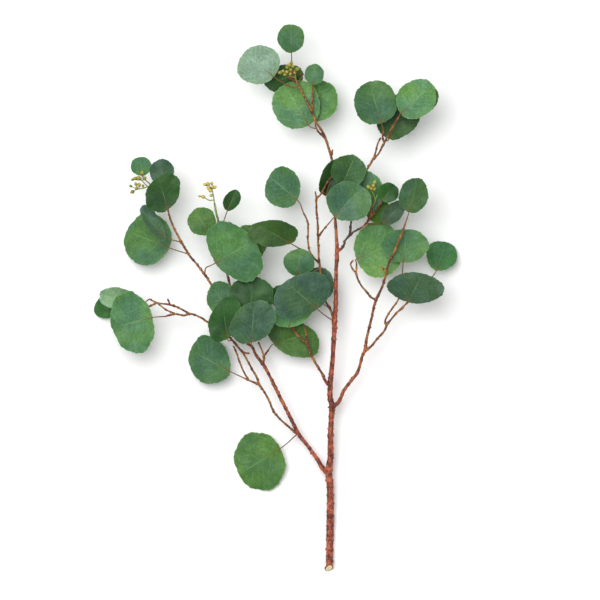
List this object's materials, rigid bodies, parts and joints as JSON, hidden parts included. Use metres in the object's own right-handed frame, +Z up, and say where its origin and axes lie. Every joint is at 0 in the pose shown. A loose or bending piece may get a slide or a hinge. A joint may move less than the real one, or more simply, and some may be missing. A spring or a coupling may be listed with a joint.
{
  "type": "eucalyptus branch",
  "caption": "Cut eucalyptus branch that lies on a surface: a forked red-brown stem with round, lightly waved green leaves on thin twigs and small pointed flower buds.",
  "frame": {"origin": "middle of the bounding box on the surface that the branch lies on", "axes": "+Z up from the surface; +Y from the cut end of the stem towards the crown; +X to the right seen from above"},
  "size_m": [0.4377, 0.657, 0.0711],
  "materials": {
    "bark": "matte",
    "leaf_pale": "matte",
    "leaf_light": "matte",
    "leaf_mid": "matte",
    "leaf_blue": "matte",
    "leaf_grey": "matte",
    "leaf_dark": "matte",
    "leaf_deep": "matte",
    "leaf_yellow": "matte",
    "buds": "satin"
  },
  "bodies": {
    "root": {"stem": "bark", "leaf_01": "leaf_mid", "leaf_02": "leaf_pale", "leaf_03": "leaf_deep", "leaf_04": "leaf_mid", "leaf_05": "leaf_mid", "leaf_06": "leaf_blue", "leaf_07": "leaf_mid", "leaf_08": "leaf_light", "leaf_09": "leaf_mid", "leaf_10": "leaf_dark", "leaf_11": "leaf_deep", "leaf_12": "leaf_mid", "leaf_14": "leaf_light", "leaf_15": "leaf_blue", "leaf_16": "leaf_deep", "leaf_17": "leaf_yellow", "leaf_18": "leaf_grey", "leaf_19": "leaf_blue", "leaf_20": "leaf_light", "leaf_21": "leaf_light", "leaf_22": "leaf_light", "leaf_23": "leaf_grey", "leaf_24": "leaf_mid", "leaf_25": "leaf_dark", "leaf_26": "leaf_light", "leaf_27": "leaf_deep", "leaf_28": "leaf_deep", "leaf_29": "leaf_mid", "leaf_30": "leaf_mid", "leaf_31": "leaf_deep", "leaf_32": "leaf_deep", "leaf_33": "leaf_blue", "leaf_34": "leaf_mid", "leaf_35": "leaf_grey", "leaf_36": "leaf_mid", "leaf_37": "leaf_deep", "leaf_38": "leaf_light", "leaf_39": "leaf_mid", "leaf_40": "leaf_deep", "leaf_41": "leaf_mid", "leaf_42": "leaf_grey", "leaf_43": "leaf_dark", "leaf_44": "leaf_mid", "leaf_45": "leaf_grey", "leaf_46": "leaf_light", "leaf_47": "leaf_pale", "leaf_48": "leaf_deep", "leaf_49": "leaf_mid", "buds_crown": "buds", "buds_left": "buds", "buds_middle_left": "buds", "buds_middle_right": "buds"}
  },
  "joints": []
}
